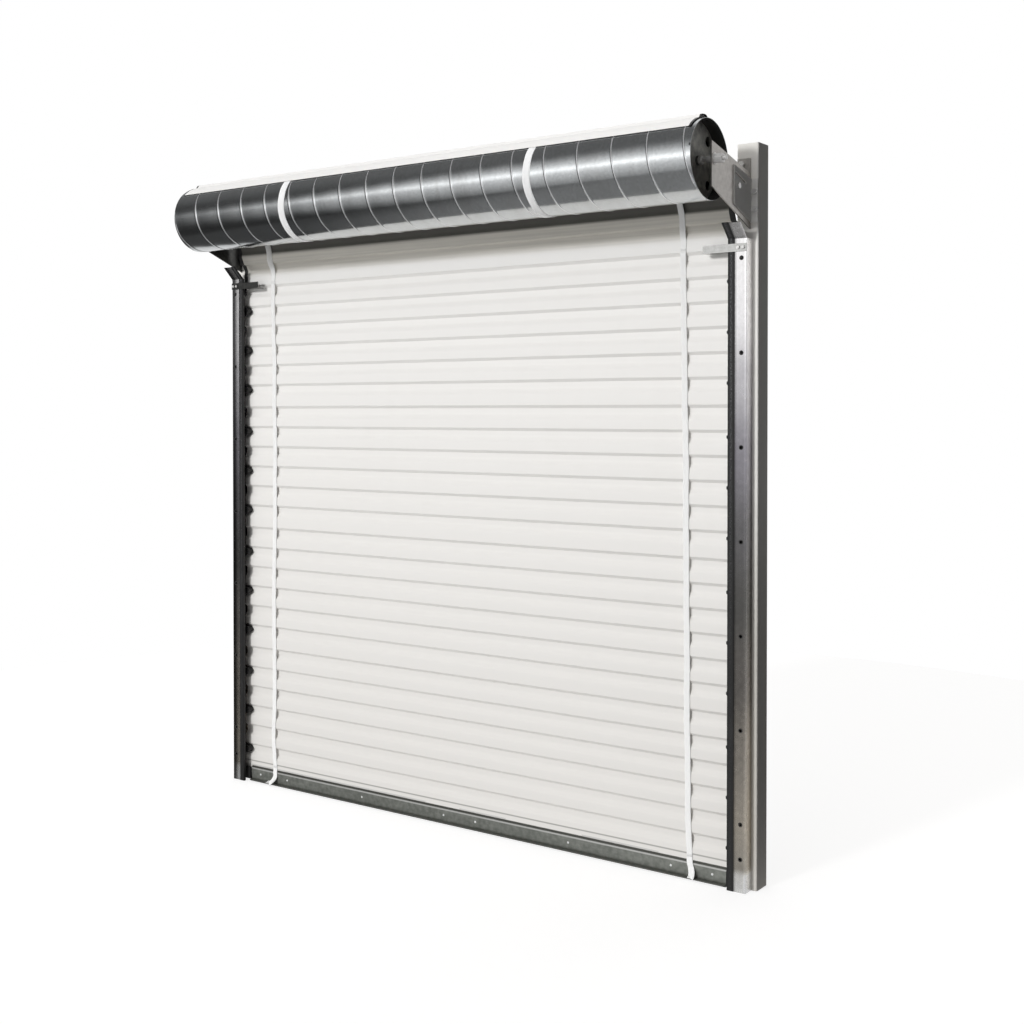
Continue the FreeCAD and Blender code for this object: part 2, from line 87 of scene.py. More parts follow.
class Nodes:
    """Adds and links the nodes of one tree."""

    def __init__(self, tree):
        self.tree = tree

    def put(self, socket, value):
        """Links a node's output to a socket, or sets the socket to a number or a colour."""
        if isinstance(value, bpy.types.NodeSocket):
            self.tree.links.new(value, socket)
        else:
            socket.default_value = (*value, 1) if isinstance(value, tuple) else value

    def node(self, kind, **values):
        """New node; values set its options, its first sockets as i0 and i1, and other sockets by name."""
        made = self.tree.nodes.new("ShaderNode" + kind)
        for name in ("operation", "bands_direction", "interpolation_type", "data_type", "blend_type"):
            if name in values:
                setattr(made, name, values.pop(name))
        for name, value in values.items():
            self.put(made.inputs[int(name[1]) if name in ("i0", "i1") else name.replace("_", " ")], value)
        return made

    def maths(self, operation, a, b=0.0):
        return self.node("Math", operation=operation, i0=a, i1=b).outputs["Value"]

    def span(self, value, low, high, from_low=0.0, from_high=1.0, kind="LINEAR"):
        """Maps the range between from_low and from_high to the one between low and high."""
        source = {"Value": value, "From_Min": from_low, "From_Max": from_high}
        made = self.node("MapRange", interpolation_type=kind, To_Min=low, To_Max=high, **source)
        return made.outputs["Result"]

    def soft_span(self, value, low, high, from_low, from_high):
        """The same range with soft ends."""
        return self.span(value, low, high, from_low, from_high, "SMOOTHSTEP")

    def ramp(self, value, stops):
        """Smooth colours through pairs of a place, from 0 to 1, and a colour."""
        made = self.node("ValToRGB", Fac=value)
        made.color_ramp.interpolation = "EASE"
        while len(made.color_ramp.elements) < len(stops):
            made.color_ramp.elements.new(0.5)
        for element, (place, colour) in zip(made.color_ramp.elements, stops):
            element.position = place
            element.color = (*colour, 1)
        return made.outputs["Color"]

    def table(self, value, low, high, stops, top):
        """Smooth curve through pairs of value and result, between two values, with results up to top."""
        shares = [((place - low) / (high - low), (result / top,) * 3) for place, result in stops]
        return self.maths("MULTIPLY", self.ramp(self.span(value, 0.0, 1.0, low, high), shares), top)

    def mix_values(self, share, a, b):
        """Blend of two numbers."""
        made = self.node("Mix")
        for number, value in ((0, share), (2, a), (3, b)):
            self.put(made.inputs[number], value)
        return made.outputs[0]

    def choose(self, share, a, b):
        """One of two shaders."""
        made = self.node("MixShader")
        for socket, value in zip(made.inputs, (share, a, b)):
            self.put(socket, value)
        return made.outputs[0]

    def glow(self, kind, strength):
        """Even white light."""
        made = self.node(kind)
        made.inputs["Color"].default_value = (1, 1, 1, 1)
        self.put(made.inputs["Strength"], strength)
        return made.outputs[0]


class Maker(Nodes):
    """Builds one material."""

    def __init__(self, name, colour, roughness, metallic=0.0, specular=0.5):
        self.material = bpy.data.materials.new(name)
        self.material.use_nodes = True
        super().__init__(self.material.node_tree)
        self.bsdf = self.tree.nodes["Principled BSDF"]
        self.bsdf.inputs["Base Color"].default_value = (*colour, 1)
        self.bsdf.inputs["Roughness"].default_value = roughness
        self.bsdf.inputs["Metallic"].default_value = metallic
        self.bsdf.inputs["Specular IOR Level"].default_value = specular
        self.place = self.node("TexCoord").outputs["Object"]

    def stretched(self, x, y, z):
        """Object coordinates with a scale for each axis."""
        mapping = self.node("Mapping", Vector=self.place)
        mapping.inputs["Scale"].default_value = (x, y, z)
        return mapping.outputs["Vector"]

    def noise(self, vector, scale=1.0, detail=3.0, rough=0.5):
        made = self.node("TexNoise", Vector=vector, Scale=scale, Detail=detail, Roughness=rough)
        return made.outputs["Fac"]

    def spangle(self, scale):
        """Grey level of patches like zinc crystals."""
        cells = self.node("TexVoronoi", Vector=self.place, Scale=scale).outputs["Color"]
        return self.node("RGBToBW", Color=cells).outputs["Val"]

    def yarns(self, scale, distortion, direction):
        """Waves along one axis."""
        waves = {"Scale": scale, "Distortion": distortion, "bands_direction": direction}
        return self.node("TexWave", Vector=self.place, **waves).outputs["Fac"]

    def mix(self, factor, a, b):
        """Blend of two colours."""
        return self.blended("MIX", factor, a, b)

    def times(self, a, b):
        """Product of two colours, or of a colour and a grey level."""
        return self.blended("MULTIPLY", 1.0, a, b)

    def blended(self, kind, factor, a, b):
        made = self.node("Mix", data_type="RGBA", blend_type=kind)
        for number, value in ((0, factor), (6, a), (7, b)):
            self.put(made.inputs[number], value)
        return made.outputs[2]

    def axis(self, number):
        """One coordinate of the object."""
        return self.node("SeparateXYZ", Vector=self.place).outputs[number]

    def between(self, value, low, high, blur):
        """One inside a range of the value and zero outside it."""
        rise = self.span(value, 0.0, 1.0, low - blur, low + blur)
        fall = self.span(value, 1.0, 0.0, high - blur, high + blur)
        return self.maths("MULTIPLY", rise, fall)

    def colour(self, value):
        self.put(self.bsdf.inputs["Base Color"], value)

    def roughness(self, value):
        self.put(self.bsdf.inputs["Roughness"], value)

    def bump(self, height, distance):
        made = self.node("Bump", Height=height, Distance=distance)
        self.put(self.bsdf.inputs["Normal"], made.outputs["Normal"])


def galvanised(name, dark, light, rough, along, metallic=1.0, marks=None):
    """Zinc-coated sheet with rolling lines along one axis; marks changes the tone by place, painted
    reflections, highlights and shade included.
    """
    m = Maker(name, light, rough, metallic=metallic)
    stretch = [260.0, 260.0, 260.0]
    stretch[along] = 3.0
    spangle = m.noise(m.place, 55.0, 3.0)
    rolled = m.noise(m.stretched(*stretch), 1.0, 4.0)
    patches = m.noise(m.place, 5.0, 3.0, 0.5)
    tone = m.mix(m.span(spangle, 0.0, 1.0, 0.3, 0.7), dark, light)
    tone = m.mix(m.span(rolled, 0.0, 0.30, 0.35, 0.75), tone, dark)
    tone = m.mix(m.span(patches, 0.0, 0.35, 0.5, 0.8), tone, dark)
    if marks:
        tone = marks(m, tone)
    m.colour(tone)
    m.roughness(m.maths("ADD", m.span(spangle, rough - 0.04, rough + 0.04), m.span(rolled, -0.03, 0.05)))
    m.bump(rolled, 0.00005)
    return m.material


def painted(name, colour, shade, rough, dirt=0.2, wear=None, specular=0.5):
    """Enamelled or dull surface with faint dust and runs; wear changes the tone by place, and is also used
    for painted shade.
    """
    m = Maker(name, colour, rough, specular=specular)
    dust = m.noise(m.place, 3.0, 5.0, 0.6)
    runs = m.noise(m.stretched(16.0, 16.0, 0.8), 1.0, 3.0)
    peel = m.noise(m.place, 900.0, 2.0)
    tone = m.mix(m.span(dust, 0.0, dirt, 0.45, 0.85), colour, shade)
    tone = m.mix(m.span(runs, 0.0, dirt, 0.5, 0.85), tone, shade)
    if wear:
        tone = wear(m, tone)
    m.colour(tone)
    m.roughness(m.span(dust, rough - 0.04, rough + 0.08))
    m.bump(peel, 0.00004)
    return m.material


def darker_foot_grey_line(m, tone):
    """Darker towards the floor, and a thin grey line just above the bottom bar."""
    height = m.axis(2)
    tone = m.mix(m.span(height, 0.9, 0.0, 0.0, 1.9), tone, (0.74, 0.72, 0.69))
    return m.mix(m.between(height, 0.0805, 0.0850, 0.0014), tone, (0.36, 0.35, 0.33))


def black_beyond(start):
    """Black on the sheet's ends, from a distance off the middle."""
    def marks(m, tone):
        reach = m.maths("ABSOLUTE", m.axis(0))
        return m.mix(m.span(reach, 0.0, 1.0, start - 0.0005, start + 0.0005), tone, (0.025, 0.025, 0.025))
    return marks


def shaded_lean(m, tone):
    """Brown and dark tones on the sheet behind the drum, for the shade and reflections seen there."""
    height = m.axis(2)
    streaks = m.span(m.noise(m.stretched(1.2, 40.0, 90.0), 1.0, 3.0), 0.84, 1.06, 0.3, 0.7)
    tone = m.mix(m.span(height, 0.0, 1.0, 2.118, 2.150), tone, m.times((0.78, 0.75, 0.68), streaks))
    tone = m.mix(m.span(height, 0.0, 1.0, 2.203, 2.213), tone, (0.12, 0.115, 0.10))
    return black_beyond(lean_black_start)(m, tone)


def bar_painted_lines(m, tone):
    """Painted highlight and painted shade line along the top of the bottom bar, and darker towards its
    lower edge.
    """
    height = m.axis(2)
    tone = m.mix(m.between(height, 0.0490, 0.0540, 0.0006), tone, (0.60, 0.60, 0.58))
    tone = m.mix(m.between(height, 0.0550, 0.0620, 0.0006), tone, (0.10, 0.10, 0.09))
    return m.mix(m.span(height, 1.0, 0.0, 0.004, 0.014), tone, (0.09, 0.09, 0.08))


# Painted reflections along the front of the guides: share of their height, and colour.
guide_tones = [
    (0.0, (1.0, 1.0, 0.98)),
    (0.024, (0.90, 0.89, 0.86)),
    (0.036, (0.44, 0.41, 0.36)),
    (0.10, (0.50, 0.455, 0.39)),
    (0.21, (0.42, 0.385, 0.34)),
    (0.32, (0.23, 0.215, 0.20)),
    (0.44, (0.13, 0.127, 0.122)),
    (0.54, (0.165, 0.16, 0.165)),
    (0.66, (0.28, 0.27, 0.295)),
    (0.77, (0.50, 0.49, 0.51)),
    (0.86, (0.74, 0.73, 0.74)),
    (1.0, (0.73, 0.72, 0.72)),
]
guide_top = 2.15


def mirrored_tones(m, tone):
    """Tones for the reflections along the guides: bright at the ends, dark and brown between."""
    across = m.axis(0)
    inner, outer = guide_face
    tones = m.ramp(m.span(m.axis(2), 0.0, 1.0, 0.0, guide_top), guide_tones)
    # Across each face the painted reflection changes: the right face is darker at its inner edge, the left
    # face at its outer edge.
    right = m.span(across, 0.0, 1.0, inner, outer)
    right = m.maths("MULTIPLY", m.span(right, 0.15, 1.0, 0.0, 0.30), m.span(right, 1.0, 1.4, 0.8, 1.0))
    left = m.span(m.span(across, 0.0, 1.0, -outer, -inner), 0.20, 1.3, 0.3, 0.65)
    # Painted shade on the guides' flanks: darker towards the front and towards the floor.
    side = m.span(m.axis(1), 0.16, 1.0, -0.028, -0.014)
    lower = m.span(m.axis(2), 0.45, 1.0, 0.8, 1.3)
    face = m.mix(m.maths("GREATER_THAN", across, 0.0), m.times(tones, left), m.times(tones, right))
    flank = m.maths("GREATER_THAN", m.maths("ABSOLUTE", across), outer + 0.0022)
    return m.times(tone, m.mix(flank, face, m.maths("MULTIPLY", side, lower)))


def shaded_foot(m, tone):
    """Darker brown on the lower half of the posts, for the shade and reflections seen there."""
    return m.mix(m.span(m.axis(2), 0.45, 0.0, 0.8, 1.3), tone, (0.30, 0.27, 0.225))


def plastic(name, colour, rough, marks=None):
    """Moulded or extruded plastic or rubber, with a fine grain and scuffs."""
    m = Maker(name, colour, rough, specular=0.4)
    scuffs = m.noise(m.stretched(60.0, 60.0, 9.0), 1.0, 4.0)
    lighter = tuple(min(1.0, value * 2.2 + 0.012) for value in colour)
    tone = m.mix(m.span(scuffs, 0.0, 0.6, 0.5, 0.85), colour, lighter)
    if marks:
        tone = marks(m, tone)
    m.colour(tone)
    m.roughness(m.span(scuffs, rough - 0.08, rough + 0.12))
    m.bump(m.noise(m.place, 700.0, 2.0), 0.00006)
    return m.material


def woven(name, colour, shade, across):
    """Flat woven strap: yarns across and along it."""
    m = Maker(name, colour, 0.75, specular=0.3)
    lengthwise = m.yarns(1500.0 / 6.283, 0.6, "Z")
    crosswise = m.yarns(2400.0 / 6.283, 0.4, across)
    weave = m.maths("MULTIPLY", lengthwise, crosswise)
    m.colour(m.mix(m.span(weave, 0.5, 0.0), colour, shade))
    m.bump(weave, 0.0003)
    m.bsdf.inputs["Sheen Weight"].default_value = 0.1
    return m.material


def stamped_cap():
    """Dark pressed steel with a stamped, dusty relief."""
    m = Maker("dark_cap", (0.10, 0.10, 0.09), 0.5, metallic=0.2)
    relief = m.noise(m.stretched(40.0, 26.0, 26.0), 1.0, 4.0, 0.6)
    dust = m.noise(m.place, 14.0, 4.0, 0.6)
    tone = m.mix(m.span(relief, 0.0, 1.0, 0.35, 0.7), (0.34, 0.34, 0.32), (0.84, 0.83, 0.77))
    m.colour(m.mix(m.span(dust, 0.0, 0.6, 0.45, 0.75), tone, (0.88, 0.87, 0.80)))
    m.roughness(m.span(relief, 0.4, 0.65))
    m.bump(relief, 0.0016)
    return m.material


def drum_steel():
    """Zinc-coated spiral tube: fine streaks along it, dull bands round it and a faint spangle."""
    m = Maker("drum_steel", (0.60, 0.62, 0.64), 0.2, metallic=1.0)
    streaks = m.noise(m.stretched(7.0, 300.0, 300.0), 1.0, 4.0, 0.6)
    bands = m.noise(m.stretched(30.0, 2.0, 2.0), 1.0, 3.0)
    tone = m.mix(m.span(m.spangle(130.0), 0.1, 0.9), (0.56, 0.58, 0.59), (0.66, 0.68, 0.69))
    tone = m.mix(m.span(bands, 0.0, 0.28, 0.4, 0.75), tone, (0.46, 0.46, 0.45))
    m.colour(tone)
    m.roughness(m.maths("ADD", m.span(bands, 0.11, 0.18), m.span(streaks, -0.02, 0.05)))
    m.bump(streaks, 0.00005)
    return m.material


def pale_middle_specks(m, tone):
    """Pale specks down the middle of the guides' black edging, fading towards the floor."""
    reach = m.maths("ABSOLUTE", m.axis(0))
    specks = m.span(m.noise(m.stretched(500.0, 500.0, 160.0), 1.0, 2.0), 0.0, 1.0, 0.45, 0.75)
    specks = m.maths("MULTIPLY", specks, m.span(m.axis(2), 0.15, 1.0, 0.7, 1.7))
    middle = m.between(reach, 1.1325, 1.1405, 0.002)
    return m.mix(m.maths("MULTIPLY", middle, specks), tone, (0.20, 0.20, 0.21))


ivory = painted("ivory_enamel", (0.915, 0.90, 0.875), (0.83, 0.81, 0.78), 0.36, 0.12, darker_foot_grey_line)
# The hem is darker than the rest of the sheet: painted shade for the dark gap just above the bottom bar.
ivory_hem_painted_shade = painted("ivory_enamel_hem_painted_shade", (0.60, 0.59, 0.57), (0.48, 0.46, 0.44), 0.42)
lean_paint = ((0.89, 0.88, 0.86), (0.80, 0.78, 0.75))
ivory_lean = painted("ivory_enamel_lean", *lean_paint, 0.36, 0.1, black_beyond(lean_black_start))
ivory_shaded = painted("ivory_enamel_painted_shade", *lean_paint, 0.45, 0.1, shaded_lean)
wrap_paint = ((0.91, 0.90, 0.88), (0.82, 0.80, 0.77))
ivory_wrap = painted("ivory_enamel_wrap", *wrap_paint, 0.36, 0.1, black_beyond(wrap_black_start))
guide_zinc = galvanised("guide_zinc", (0.84, 0.84, 0.84), (1.0, 1.0, 1.0), 0.25, 2, marks=mirrored_tones)
post_zinc = painted("post_zinc", (0.95, 0.93, 0.89), (0.80, 0.77, 0.72), 0.5, 0.2, shaded_foot, 0.10)
foot_zinc = painted("foot_zinc", (0.90, 0.89, 0.87), (0.62, 0.60, 0.56), 0.45, 0.5, specular=0.3)
bar_zinc = galvanised("bar_zinc", (0.20, 0.21, 0.19), (0.33, 0.34, 0.31), 0.42, 0, 0.6, bar_painted_lines)
plate_zinc = galvanised("plate_zinc", (0.33, 0.315, 0.30), (0.45, 0.43, 0.41), 0.40, 1)
stop_zinc = galvanised("stop_zinc", (0.36, 0.36, 0.35), (0.47, 0.47, 0.46), 0.24, 0)
shaded_zinc = galvanised("shaded_zinc", (0.07, 0.07, 0.068), (0.11, 0.11, 0.105), 0.30, 0)
fastener_zinc = galvanised("fastener_zinc", (0.70, 0.69, 0.68), (0.88, 0.87, 0.86), 0.30, 1, 0.45)
rivet_zinc = galvanised("rivet_zinc", (0.86, 0.86, 0.85), (0.96, 0.96, 0.95), 0.35, 1, 0.1)
drum_skin = drum_steel()
# Lighter, rougher metal on the seam crests: a painted highlight along the seams.
seam_painted_highlight = galvanised("seam_painted_highlight", (0.82, 0.83, 0.84), (0.95, 0.95, 0.96), 0.34, 0, 0.75)
dark_cap = stamped_cap()
# Near black inside the drum's ends: painted shade in the bore.
bore_painted_shade = painted("bore_painted_shade", (0.03, 0.03, 0.028), (0.07, 0.068, 0.06), 0.6, dirt=0.6)
black_edge = plastic("black_edging", (0.012, 0.012, 0.012), 0.42)
specked_edge = plastic("specked_edging", (0.012, 0.012, 0.012), 0.42, marks=pale_middle_specks)
black_rubber = plastic("seal_rubber", (0.015, 0.015, 0.015), 0.7)
grey_plastic = plastic("bearing_plastic", (0.10, 0.10, 0.10), 0.5)
spring_dark = galvanised("spring_steel", (0.10, 0.10, 0.10), (0.2, 0.2, 0.2), 0.4, 1)
hole_painted_shade = painted("hole_painted_shade", (0.03, 0.03, 0.03), (0.06, 0.055, 0.05), 0.6, dirt=0.5)
strap_white = woven("strap_webbing", (1.0, 1.0, 0.99), (0.96, 0.96, 0.95), "X")
band_white = woven("band_tape", (1.0, 1.0, 1.0), (0.94, 0.95, 0.95), "Z")


def dress(material, *names):
    """Gives a carried-over piece its material."""
    for name in names:
        obj = nodes[name]
        obj.data.materials.clear()
        obj.data.materials.append(material)


def pair(*names):
    """Names of the left and the right piece of each kind."""
    return [side + "_" + name for side in ("left", "right") for name in names]


dress(ivory_hem_painted_shade, "curtain_hem")
dress(guide_zinc, *pair("guide"))
dress(post_zinc, *pair("post"))
dress(bar_zinc, "bottom_angle", "bar_cap")
dress(plate_zinc, "right_bracket_plate")
dress(foot_zinc, *pair("bracket_foot"))
dress(stop_zinc, "right_stop_plate")
# The left stop plate and bracket plate get a darker copy of the zinc: painted shade and reflection.
dress(shaded_zinc, "left_stop_plate", "left_bracket_plate")
dress(rivet_zinc, "bar_rivets")
dress(fastener_zinc, "axle", *pair("axle_nut", "axle_collar"))
dress(fastener_zinc, *pair("guide_screws", "stop_bolts", "bracket_bolts"))
dress(drum_skin, "drum_tube", "drum_lock_seam")
dress(dark_cap, *pair("drum_cap"))
dress(black_edge, *pair("edge_clips", "bar_runner"))
dress(specked_edge, *pair("wear_strip"))
dress(black_rubber, "bottom_seal")
dress(grey_plastic, *pair("drum_bearing"))
dress(spring_dark, *pair("torsion_spring"))
dress(strap_white, "strap_leads", *pair("strap", "strap_loop"))
dress(band_white, *pair("drum_band"))


def softened(width, *names):
    """Small rounds on a carried-over piece's sharp edges."""
    for name in names:
        weld = nodes[name].modifiers.new("weld", "WELD")
        weld.merge_threshold = 0.00002
        bevel = nodes[name].modifiers.new("bevel", "BEVEL")
        bevel.width = width
        bevel.segments = 2
        bevel.limit_method = "ANGLE"
        bevel.angle_limit = math.radians(40)
        bevel.harden_normals = True


softened_pairs = pair("guide", "stop_plate", "bracket_plate", "bracket_foot", "wear_strip")
softened(0.0006, *softened_pairs, "bottom_angle", "bar_cap")


# Meshes

def new_mesh(name, points, faces, material, body, slot, smooth=True):
    mesh = bpy.data.meshes.new(name)
    mesh.from_pydata([tuple(point) for point in points], [], faces)
    mesh.validate()
    mesh.materials.append(material)
    mesh.polygons.foreach_set("use_smooth", [smooth] * len(mesh.polygons))
    mesh.update()
    obj = bpy.data.objects.new(name, mesh)
    bpy.context.scene.collection.objects.link(obj)
    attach(obj, body)
    return obj


def slab(front, back):
    """Points and faces of a closed thin sheet from two grids of rows."""
    rows = len(front)
    cols = len(front[0])
    points = [p for row in front for p in row] + [p for row in back for p in row]
    shift = rows * cols
    faces = []
    for r in range(rows - 1):
        for c in range(cols - 1):
            a = r * cols + c
            faces.append((a, a + 1, a + cols + 1, a + cols))
            a += shift
            faces.append((a, a + cols, a + cols + 1, a + 1))
    for c in range(cols - 1):
        faces.append((c, c + shift, c + 1 + shift, c + 1))
        a = (rows - 1) * cols + c
        faces.append((a, a + 1, a + 1 + shift, a + shift))
    for r in range(rows - 1):
        a = r * cols
        faces.append((a, a + cols, a + cols + shift, a + shift))
        a += cols - 1
        faces.append((a, a + shift, a + cols + shift, a + cols))
    return points, faces


# Curtain

run_y = axle_y + bend_radius
run_z = axle_z - bend_start
run_length = math.hypot(run_y, run_z)
radius_change = bend_radius - wrap_radius
lean_angle = math.asin(radius_change / run_length) - math.atan2(run_y, run_z)
lean_length = math.sqrt(run_length ** 2 - radius_change ** 2)
lean_start = bend_start + bend_radius * lean_angle
wrap_start = lean_start + lean_length
sheet_end = wrap_start + wrap_radius * (wrap_angle - lean_angle)


def sheet_point(station, offset):
    """Place of a station along the sheet's path, set back from the crest face by offset."""
    if station <= bend_start:
        return (offset, station)
    if station <= wrap_start:
        angle = min(station - bend_start, lean_start - bend_start) / bend_radius
        along = max(station - lean_start, 0.0)
        y = -bend_radius + (bend_radius + offset) * math.cos(angle) - along * math.sin(angle)
        z = bend_start + (bend_radius + offset) * math.sin(angle) + along * math.cos(angle)
        return (y, z)
    angle = lean_angle + (station - wrap_start) / wrap_radius
    reach = wrap_radius + offset
    return (axle_y + reach * math.cos(angle), axle_z + reach * math.sin(angle))


def rib_lines():
    """Stations of the sharp edges under the ribs, from the bottom bar to the sheet's end."""
    found = []
    station = bar_top + pitch + lap_allowance
    while station < sheet_end:
        found.append(station)
        station += pitch
        if len(found) % ribs_per_strip == 0:
            station += lap_allowance
    return found


lines = rib_lines()


# Rounding of a rib: how much sooner its slope starts, and how much longer it is than the sharp one.
slope_lead = 0.006
slope_extra = 0.010


def soft_step(value):
    value = min(1.0, max(0.0, value))
    return value * value * (3 - 2 * value)


def rib_offset(station):
    """Depth of the sheet behind its crest face, with rounded bends."""
    if station <= bar_top or station > lines[-1]:
        return 0.0
    down = min(line for line in lines if line >= station - 1e-9) - station
    if down <= rib_ledge:
        share = down / rib_ledge
        return rib_depth * (0.75 * share + 0.25 * soft_step(share))
    past = down - rib_ledge - rib_recess + slope_lead
    if past <= 0:
        return rib_depth
    return rib_depth * (1 - soft_step(past / (rib_return + slope_extra)))


# Rows of points: distances below each rib line, and the step along the sheet's bends.
rib_steps = (0.0, 0.001, 0.0025, 0.0045, 0.0065, 0.0085, 0.010, 0.011, 0.016, 0.023, 0.030, 0.032,
             0.0345, 0.037, 0.040, 0.043, 0.046, 0.049, 0.0515, 0.054, 0.062, 0.072)
bend_step = 0.004


def stations(low, high):
    """Stations between two others at which the sheet has a row of points."""
    marks = {low, high}
    for line in lines:
        for step in rib_steps:
            marks.add(line - step)
    station = bend_start
    while station < sheet_end:
        marks.add(station)
        station += bend_step
    return sorted(mark for mark in marks if low <= mark <= high)


# Length over which a sheet steps back behind its neighbour, and how far its head is above the rib line.
lap_joggle = 0.0004
head_rise = 0.0004


def curtain_sheet(name, low, high, lap, skin):
    """Corrugated, faintly wavy sheet between two stations, tucked behind its neighbour above the lap."""
    columns = 61
    front = []
    back = []
    marks = sorted(set(stations(low, high)) | ({lap - lap_joggle, lap} if lap < high else set()))
    for mark in marks:
        tuck = sheet_wall * min(1.0, max(0.0, 1 + (mark - lap) / lap_joggle))
        front_row = []
        back_row = []
        for column in range(columns):
            x = sheet_half * (2 * column / (columns - 1) - 1)
            wave = 0.00045 * noise.noise(Vector((x * 3.1, mark * 7.0, 0.3)))
            depth = rib_offset(mark) + tuck + wave
            y, z = sheet_point(mark, depth)
            front_row.append((x, y, z))
            y, z = sheet_point(mark, depth + sheet_wall)
            back_row.append((x, y, z))
        front.append(front_row)
        back.append(back_row)
    sheet = new_mesh(name, *slab(front, back), skin, "frame", "painted_sheet")
    sheet.data.set_sharp_from_angle(angle=math.radians(25))
    return sheet


def follows_lift(obj):
    """Gives the piece its own copy of its mesh."""
    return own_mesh(obj)


for number in range(1, strip_count + 1):
    head = first_line - (number - 1) * strip_height + head_rise
    strip = curtain_sheet("sheet_strip_%d" % number, head - strip_height, head + lap_cover, head, ivory)
    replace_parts(strip, "curtain_strip_%d" % number)
    follows_lift(strip)
for name in pair("edge_clips"):
    follows_lift(nodes[name])
lean = curtain_sheet("sheet_lean", first_line + head_rise, wrap_start, sheet_end, ivory_lean)
lean.data.materials.append(ivory_shaded)
# The lean's front faces carry the painted shade and reflections behind the drum.
for polygon in lean.data.polygons:
    if polygon.normal.y < 0:
        polygon.material_index = 1
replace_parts(lean, "curtain_lean")
wrap = curtain_sheet("sheet_wrap", wrap_start, sheet_end, sheet_end + 1, ivory_wrap)
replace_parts(wrap, "curtain_wrap")


# Drum

seam_rise = 0.0012
seam_half = 0.0028
seam_clear = 0.003
seam_fade = 0.002


def on_drum(x, reach, angle):
    """Point at a distance and an angle round the axle."""
    return (x, axle_y + reach * math.cos(angle), axle_z + reach * math.sin(angle))


def drum_shell():
    """Spiral tube with raised lock seams, its rolled ends and the start of its bore."""
    around = 192
    right_half = [0.0008, 0.0016, 0.0024, 0.0035, 0.0055, 0.009, 0.015, 0.024, 0.033, 0.042, 0.050, 0.058]
    offsets = [-offset for offset in reversed(right_half)] + [0.0] + right_half
    start = seam_pitch * seam_phase / 360 - seam_end
    turns = range(-2, 21)
    spiral = []
    for turn in turns:
        for offset in offsets:
            spiral.append((start + turn * seam_pitch + offset, offset))
    steps = len(offsets)
    points = []
    for x0, offset in spiral:
        for j in range(around):
            angle = 2 * math.pi * j / around
            x = x0 + seam_pitch * j / around
            ridge = seam_rise * max(0.0, 1 - (abs(offset) / seam_half) ** 2)
            swell = math.cos(math.pi * offset / seam_pitch) ** 2
            sag = -0.00022 * swell if abs(offset) > 0.004 else -0.0001
            dent = 0.00012 * noise.noise(Vector((x * 9.0, math.cos(angle) * 1.6, math.sin(angle) * 1.6)))
            edge = min(1.0, max(0.0, (drum_half - seam_clear - abs(x)) / seam_fade))
            reach = drum_radius + ridge * edge + sag + dent
            points.append(on_drum(min(drum_half, max(-drum_half, x)), reach, angle))
    faces = []
    for i in range(len(spiral) - 1):
        for j in range(around):
            a = i * around + j
            b = (i + 1) * around + j
            if j < around - 1:
                c, d = b + 1, a + 1
            elif i + steps + 1 < len(spiral):
                c, d = (i + 1 + steps) * around, (i + steps) * around
            else:
                continue
            xs = [points[k][0] for k in (a, b, c, d)]
            if min(xs) >= drum_half - 1e-7 or max(xs) <= -drum_half + 1e-7:
                continue
            faces.append((a, d, c, b))
    rolled_end = [(0.0004, 0.0001), (0.0, 0.0004), (0.0, 0.0010),
                  (0.0004, 0.0013), (0.02, 0.0013), (0.056, 0.0013)]
    for side in (-1, 1):
        first = len(points)
        for inset, depth in rolled_end:
            for j in range(around):
                angle = 2 * math.pi * j / around
                points.append(on_drum(side * (drum_half - inset), drum_radius - depth, angle))
        for i in range(len(rolled_end) - 1):
            a = first + i * around
            b = a + around
            for j in range(around):
                k = (j + 1) % around
                quad = (a + j, a + k, b + k, b + j)
                faces.append(quad if side < 0 else quad[::-1])
    used = sorted({k for face in faces for k in face})
    index = {k: n for n, k in enumerate(used)}
    return [points[k] for k in used], [tuple(index[k] for k in face) for face in faces]


drum = new_mesh("spiral_drum", *drum_shell(), drum_skin, "drum", "drum_metal")
drum.data.materials.append(bore_painted_shade)
drum.data.materials.append(seam_painted_highlight)
for polygon in drum.data.polygons:
    reach = math.hypot(polygon.center.y - axle_y, polygon.center.z - axle_z)
    # Inside the rolled ends: the bore's painted shade.
    if reach < drum_radius - 0.00115:
        polygon.material_index = 1
    # Seam crests: the painted highlight.
    elif reach > drum_radius + seam_rise / 2:
        polygon.material_index = 2
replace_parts(drum, "drum_tube", "drum_lock_seam")


def tape_band(name, centre, width):
    """Tape round the drum, creased where it passes over the seam."""
    around = 256
    across = [width * share for share in (-0.5, -0.47, -0.30, -0.12, 0.12, 0.30, 0.47, 0.5)]
    rise = (0.0, 0.0006, 0.0008, 0.00085, 0.00085, 0.0008, 0.0006, 0.0)
    points = []
    faces = []
    for j in range(around):
        angle = 2 * math.pi * j / around
        drift = 0.0011 * math.sin(angle * 3 + centre) + 0.0006 * math.sin(angle * 7)
        for x, up in zip(across, rise):
            seam = (centre + x + seam_end) / seam_pitch - (math.degrees(angle) + seam_phase) / 360
            near = abs(seam - round(seam)) * seam_pitch
            lift = 0.0011 * math.exp(-(near / 0.008) ** 2) + 0.0003
            points.append(on_drum(centre + x + drift, drum_radius + up + lift, angle))
    cols = len(across)
    for j in range(around):
        k = (j + 1) % around
        for c in range(cols - 1):
            faces.append((j * cols + c, k * cols + c, k * cols + c + 1, j * cols + c + 1))
    return new_mesh(name, points, faces, band_white, "drum", "drum_felt")


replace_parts(tape_band("band_left", -0.566, 0.032), "left_drum_band")
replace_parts(tape_band("band_right", 0.560, 0.029), "right_drum_band")


# Straps

